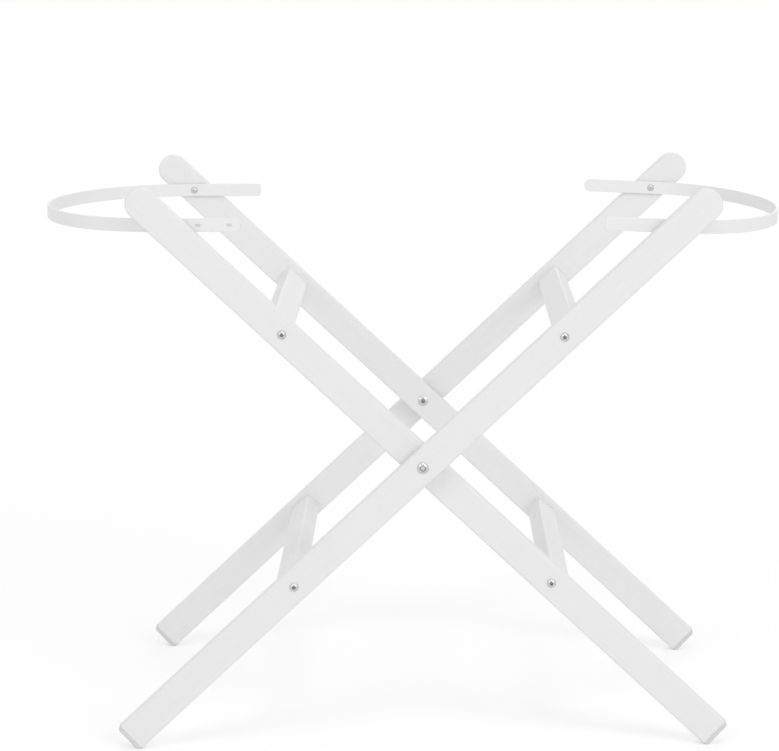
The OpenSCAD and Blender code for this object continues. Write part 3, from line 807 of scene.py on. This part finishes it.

# %% [markdown]
# ## Sockets
# Bolts and sleeve nuts have a hexagon socket, pressed into the head with a punch. A dark disc could stand
# for it, but that looks flat from the side, so a six sided tool is cut out of the head, and the faces of
# the socket take a darker plate, which paints their shade. Sockets stop at any angle when a bolt is
# tightened, so each bolt is turned a little further than the one before it.

# %% Sockets
HEXAGON = 6
# A face looks inwards when its normal leans to the axis by more than this share of its length
LEANS_IN = 0.1


def with_socket(head, key, h, turn, lead_in=False):
    """Cut a hexagon socket, measured across flats, to two thirds of a head's height, and paint shade on it.
    A lead-in widens the mouth with a cone, and keeps the painted shade off the bottom, which stays bright."""
    punch = bmesh.new()
    corner_r, bottom_z = key / sqrt(3), h / 3
    rod(punch, (0, 0, bottom_z), (0, 0, h + OVER), 2 * corner_r, segments=HEXAGON)
    bmesh.ops.rotate(punch, cent=(0, 0, 0), matrix=Matrix.Rotation(turn, 3, "Z"), verts=punch.verts)
    made = cut(head, punch)
    if lead_in:
        cone = bmesh.new()
        bmesh.ops.create_cone(cone, cap_ends=True, segments=TURN_STEPS, radius1=key / 2, radius2=key / 2 + h,
                              depth=h, matrix=Matrix.Translation((0, 0, h)))
        made = cut(made, cone)
    # Painted shade: the walls of the socket, and without a lead-in its bottom too, take the darker plate
    for face in made.faces:
        at = face.calc_center_median()
        looks_inwards = face.normal.xy.dot(at.xy) < -LEANS_IN * at.xy.length
        is_bottom = abs(at.z - bottom_z) < NEAR and at.xy.length < corner_r
        if at.z > bottom_z - NEAR and (looks_inwards or is_bottom and not lead_in):
            face.material_index = SECOND_FINISH
    return made


print("sides of a socket:", HEXAGON)

# %% [markdown]
# ## Fasteners in their places
# Bolts, sleeve nuts and screws lie along Y, with their heads to the front or to the rear. Each is built
# upright, with the seat of its head at zero. It could be turned by hand wherever it goes, but one function
# for the turn leaves no signs to puzzle over. Fasteners that come in pairs share one node, so the meshes of
# a pair are joined to one piece.

# %% Helpers for fasteners
def facing(y, way):
    """A place on the Y axis for a fastener whose head looks along Y, up it or down it as way says."""
    return Matrix.Translation((0, y, 0)) @ Matrix.Rotation(-way * pi / 2, 4, "X")


def joined(shapes):
    """One mesh of several, each given with the place that it goes to."""
    made = bmesh.new()
    for shape, place in shapes:
        bmesh.ops.transform(shape, matrix=place, verts=shape.verts)
        mesh = bpy.data.meshes.new("shape")
        shape.to_mesh(mesh)
        shape.free()
        made.from_mesh(mesh)
        bpy.data.meshes.remove(mesh)
    return made


print("a head that faces the rear looks along:", facing(0, 1).to_3x3() @ Vector((0, 0, 1)))

# %% [markdown]
# ## Rail bolts and barrel nuts
# Rail bolts hold the rails to the legs. Their small domed heads sit on the outer faces of the legs, and
# their ends reach just past the barrel nuts, which are let into the rails from below and have a slot for a
# screwdriver. A nut could be turned as well, but a bar with chamfered ends is all that it is before it is
# drilled and slotted.

# %% Rail bolts and barrel nuts
RAIL_HEAD_D, RAIL_HEAD_H, RAIL_KEY = 10 * MM, 3 * MM, 4 * MM
SLOT_W = BARREL_D / 6
SOCKET_STEP = radians(23)
PLAY = 0.1 * MM


def rail_bolt(number):
    """A rail bolt with its head's seat on z = 0."""
    bolt = turned(RAIL_HEAD_D, RAIL_HEAD_H, shank(BOLT_D, LEG_T + BOLT_TIP - PLAY))
    return with_socket(bolt, RAIL_KEY, RAIL_HEAD_H, number * SOCKET_STEP)


def barrel_nut():
    """A barrel nut about the Z axis, cross drilled along Y, with its slot below."""
    bm, bore, slot = bmesh.new(), bmesh.new(), bmesh.new()
    rod(bm, (0, 0, -BARREL_LEN / 2), (0, 0, BARREL_LEN / 2), BARREL_D)
    round_edges(bm, [e for e in bm.edges if e.calc_face_angle(0) > ARRIS], CHAMFER, segments=1)
    rod(bore, (0, -BARREL_D, 0), (0, BARREL_D, 0), BOLT_D + 2 * FIT)
    bmesh.ops.create_cube(slot, size=1, matrix=Matrix.Translation((0, 0, -BARREL_LEN / 2))
                          @ Matrix.Diagonal((SLOT_W, 2 * BARREL_D, 2 * SLOT_W, 1)))
    return cut(bm, bore, slot)


# Counts the fasteners, so that each one is turned further than the one before it
number = 0
for frame_name, (axes, inner_face) in FRAMES.items():
    for level, spot in RAIL_SPOTS.items():
        bolts, nuts = [], []
        for way in BOTH_WAYS:
            number += 1
            at_bolt = axes @ spot @ Matrix.Translation((-BOLT_TO_DOWEL / 2, 0, 0))
            bolts.append((rail_bolt(number), at_bolt @ facing(way * (inner_face + LEG_T), way)))
            at_nut = at_bolt @ Matrix.Translation((0, way * (inner_face - BARREL_INSET), 0))
            nuts.append((barrel_nut(), at_nut))
        node = f"{frame_name}_{level}"
        piece(node + "_domed_bolts", joined(bolts), node + "_rail_bolts", ZINC, SOCKET)
        piece(node + "_cross_nuts", joined(nuts), node + "_barrel_nuts", ZINC)

# %% [markdown]
# ## Pivot bolts and sleeve nuts
# At each crossing a larger bolt comes from outside and screws into a sleeve nut that comes from inside. The
# inner leg turns on the smooth sleeve. Each of the two has a domed flange with a hexagon socket, and is
# turned and cut as the rail bolts are. The pivot bolt's socket has a lead-in, a cone at its mouth that
# guides the key. A plain socket would be simpler, but its painted shade would show as one dark spot, where
# the real one has a bright bottom in a dark ring, so here the painted shade stays off the bottom.

# %% Pivot bolts and sleeve nuts
PIVOT_HEAD_D, PIVOT_HEAD_H, FLANGE_H, PIVOT_KEY = 13 * MM, 3.2 * MM, 2.4 * MM, 5 * MM
# How far the sleeve stays behind the outer face of the outer leg
SLEEVE_COVER = 6 * MM
FLANGE_Y = INNER_Y - PLAY
OUTER_FACE = OUTER_Y + LEG_T
SLEEVE_LEN = OUTER_FACE - SLEEVE_COVER - FLANGE_Y

for side, way in SIDES.items():
    number += 1
    bolt = turned(PIVOT_HEAD_D, PIVOT_HEAD_H, shank(BOLT_D, OUTER_FACE - INNER_Y - PLAY))
    bolt = with_socket(bolt, PIVOT_KEY, PIVOT_HEAD_H, number * SOCKET_STEP, lead_in=True)
    piece(f"{side}_pivot_domed_bolt", joined([(bolt, OUTER_FRAME @ facing(way * OUTER_FACE, way))]),
          f"{side}_pivot_bolt", ZINC, SOCKET)
    wall_r, bore_r = SLEEVE_D / 2, BOLT_D / 2 + FIT
    tube = [(wall_r, 0), (wall_r, -SLEEVE_LEN), (bore_r, -SLEEVE_LEN), (bore_r, -PLAY), (0, -PLAY)]
    nut = with_socket(turned(PIVOT_HEAD_D, FLANGE_H, tube), PIVOT_KEY, FLANGE_H, -number * SOCKET_STEP)
    piece(f"{side}_flanged_sleeve", joined([(nut, OUTER_FRAME @ facing(way * FLANGE_Y, -way))]),
          f"{side}_sleeve_nut", ZINC, SOCKET)

# %% [markdown]
# ## Hoop screws
# The hoops hang on pan headed wood screws, driven from inside the hoop into the legs. A real cross recess
# tapers towards its bottom. Two narrow slots at right angles, each cut half way into the head, look the
# same at this size and are much simpler.

# %% Hoop screws
SCREW_HEAD_D, SCREW_HEAD_H, RECESS_W = 8 * MM, 2.6 * MM, 1.2 * MM
# Wood that is left beyond the point of a screw
SCREW_COVER = 4 * MM
SCREW_LEN = STRIP_T + PLAY + HOOP_WASHER_T + LEG_T - SCREW_COVER
BLUNT_R = SCREW_D / 16


def hoop_screw(turn):
    """A pan headed screw with its head's seat on z = 0 and a pointed end."""
    point = [(SCREW_D / 2, 0), (SCREW_D / 2, SCREW_D - SCREW_LEN), (BLUNT_R, -SCREW_LEN), (0, -SCREW_LEN)]
    screw = turned(SCREW_HEAD_D, SCREW_HEAD_H, point)
    for quarter in (0, pi / 2):
        slot = bmesh.new()
        bmesh.ops.create_cube(slot, size=1, matrix=Matrix.Translation((0, 0, SCREW_HEAD_H))
                              @ Matrix.Rotation(turn + quarter, 4, "Z")
                              @ Matrix.Diagonal((SCREW_HEAD_D / 2, RECESS_W, SCREW_HEAD_H, 1)))
        screw = cut(screw, slot)
    return screw


for side, (turn, droop, half, bow) in HOOPS.items():
    # The screws sit straight in the legs, whatever the hoop's droop
    axes = screw_axes(side, turn, 0)
    seat = half - STRIP_T - PLAY
    screws = []
    for way in BOTH_WAYS:
        number += 1
        screws.append((hoop_screw(number * SOCKET_STEP), axes @ facing(way * seat, -way)))
    piece(f"{side}_hoop_pan_screws", joined(screws), f"{side}_hoop_screws", ZINC)

# %% [markdown]
# ## Pieces that stay as they are
# Washers, stop pins and dowels are plain rings and bars that hardly show. They could be modelled again, but
# their CAD shapes lack nothing, so these are kept and only get their finish.

# %% Finishes on the kept nodes
KEPT = {"nylon": NYLON, "zinc_plate": ZINC, "bare_beech": BEECH}

for node, cad_object in frame["nodes"].items():
    if not cad_object.hide_render:
        cad_object.data.materials.clear()
        cad_object.data.materials.append(KEPT[SLOTS[node]])
        print(node, "keeps its shape, in", KEPT[SLOTS[node]].name)

# %% [markdown]
# ## The camera
# The camera looks at the stand from the front, a little above it and more than three metres away, through a
# long lens. It could be set by eye, but its place, tilt and lens were worked out from the edges of the legs
# and the bolt heads in the photograph, which puts every piece where it shows there.

# %% Camera
EYE = Vector((15.2, -3353.3, 939)) * MM
PITCH, YAW, ROLL = radians(9.371), radians(-0.721), radians(-0.178)
FOCAL_PIXELS, IMAGE_WIDTH, SENSOR_MM = 2883.6, 779, 36
FAR = 100

camera_data = bpy.data.cameras.new("camera")
camera_data.sensor_fit = "HORIZONTAL"
camera_data.sensor_width = SENSOR_MM
camera_data.lens = FOCAL_PIXELS / IMAGE_WIDTH * SENSOR_MM
camera_data.clip_end = FAR
camera = bpy.data.objects.new("camera", camera_data)
camera.matrix_world = (Matrix.Translation(EYE) @ Matrix.Rotation(-YAW, 4, "Z")
                       @ Matrix.Rotation(pi / 2 - PITCH, 4, "X") @ Matrix.Rotation(ROLL, 4, "Z"))
bpy.context.scene.collection.objects.link(camera)
bpy.context.scene.camera = camera
print("lens:", round(camera_data.lens, 1), "mm")

# %% [markdown]
# ## The floor
# The floor is a pale studio sweep of matt vinyl, which takes soft shadows close to the stand. It could be
# lit until it looks white, but so much light would burn out the stand as well. Instead the camera and
# reflections see it a little brighter than it is, while the light that it throws back on the stand stays
# that of real vinyl. Further out it fades to plain white, so that no edge of the floor shows from any side.

# %% Floor
FLOOR_R, FLOOR_SIDES = 30, 64
FADE_FROM, FADE_TO = 0.6, 3.0
NEAR_WHITE, SEEN_BRIGHTER = 0.35, 1.17


def seen_directly(tree):
    """1 for rays from the camera and for what metal or glass mirrors, 0 for light that falls on things."""
    path = add(tree, "ShaderNodeLightPath").outputs
    mirrored = add(tree, "ShaderNodeMath", {0: path["Is Glossy Ray"], 1: path["Is Transmission Ray"]},
                   operation="MAXIMUM")
    seen = add(tree, "ShaderNodeMath", {0: path["Is Camera Ray"], 1: mirrored.outputs[0]},
               operation="MAXIMUM")
    return seen.outputs[0]


def studio_floor():
    """Matt white vinyl, fading to white light with distance."""
    made, tree = new_material("studio_floor")
    place = add(tree, "ShaderNodeTexCoord").outputs["Object"]
    away = add(tree, "ShaderNodeVectorMath", {0: place}, operation="LENGTH").outputs["Value"]
    fade = add(tree, "ShaderNodeMapRange", {"Value": away, "From Min": FADE_FROM, "From Max": FADE_TO,
                                            "To Min": NEAR_WHITE}, interpolation_type="SMOOTHSTEP")
    seen = seen_directly(tree)
    share = add(tree, "ShaderNodeMath", {0: fade.outputs[0], 1: seen}, operation="MULTIPLY")
    gain = add(tree, "ShaderNodeMapRange", {"Value": seen, "To Min": 1, "To Max": SEEN_BRIGHTER})
    tint = linear("#F8F8F8")[:3]
    colour = add(tree, "ShaderNodeVectorMath", {0: tint, "Scale": gain.outputs[0]}, operation="SCALE")
    vinyl = add(tree, "ShaderNodeBsdfDiffuse", {"Color": colour.outputs[0]})
    white = add(tree, "ShaderNodeEmission", {"Color": linear("#FFFFFF"), "Strength": 1})
    blend = add(tree, "ShaderNodeMixShader", {0: share.outputs[0], 1: vinyl.outputs[0], 2: white.outputs[0]})
    add(tree, "ShaderNodeOutputMaterial", {"Surface": blend.outputs[0]})
    return made


sweep = bmesh.new()
bmesh.ops.create_circle(sweep, cap_ends=True, segments=FLOOR_SIDES, radius=FLOOR_R)
floor_mesh = bpy.data.meshes.new("floor")
sweep.to_mesh(floor_mesh)
sweep.free()
floor_mesh.materials.append(studio_floor())
floor = bpy.data.objects.new("floor", floor_mesh)
bpy.context.scene.collection.objects.link(floor)
print("floor radius:", FLOOR_R, "m")

# %% [markdown]
# ## The light
# Two wide softboxes stand well in front, left and right, and light the legs' faces evenly. A smaller one
# hangs in front of the stand, higher up, and throws the faint shadows behind the feet. A weak one behind
# keeps the back from looking dull. The white room around gives most of the light, because strong lamps
# alone would draw hard shadows on the pale legs. Levels tell how bright a white card looks that faces that
# light alone.

# %% Light
AIM = Vector((0, 0, 0.3))
# Where each softbox hangs, how wide it is, and its level
SOFTBOXES = {
    "softbox_right": (Vector((6.1, -7.7, 5.3)), 5.0, 0.16),
    "softbox_left": (Vector((-6.3, -7.6, 5.3)), 5.0, 0.08),
    "softbox_above": (Vector((0.5, -3.6, 6.6)), 1.8, 0.06),
    "softbox_behind": (Vector((1.1, 9.0, 5.2)), 5.0, 0.10),
}
ROOM_LIGHT = 0.72

for name, (spot, size, level) in SOFTBOXES.items():
    lamp = bpy.data.lights.new(name, "AREA")
    lamp.size = size
    lamp.energy = level * pi ** 2 * (spot - AIM).length_squared
    holder = bpy.data.objects.new(name, lamp)
    aimed = (AIM - spot).to_track_quat("-Z", "Y").to_matrix().to_4x4()
    holder.matrix_world = Matrix.Translation(spot) @ aimed
    bpy.context.scene.collection.objects.link(holder)
    print(name, round(lamp.energy, 1), "W")

room = bpy.data.worlds.new("white room")
room.use_nodes = True
tree = room.node_tree
tree.nodes.clear()
strength = add(tree, "ShaderNodeMapRange", {"Value": seen_directly(tree), "To Min": ROOM_LIGHT})
air = add(tree, "ShaderNodeBackground", {"Color": linear("#FFFFFF"), "Strength": strength.outputs[0]})
add(tree, "ShaderNodeOutputWorld", {"Surface": air.outputs[0]})
bpy.context.scene.world = room

# %% [markdown]
# ## The view
# The Standard view shows each colour as it was written, where a filmic one would grey the whites.

# %% The view
bpy.context.scene.view_settings.view_transform = "Standard"
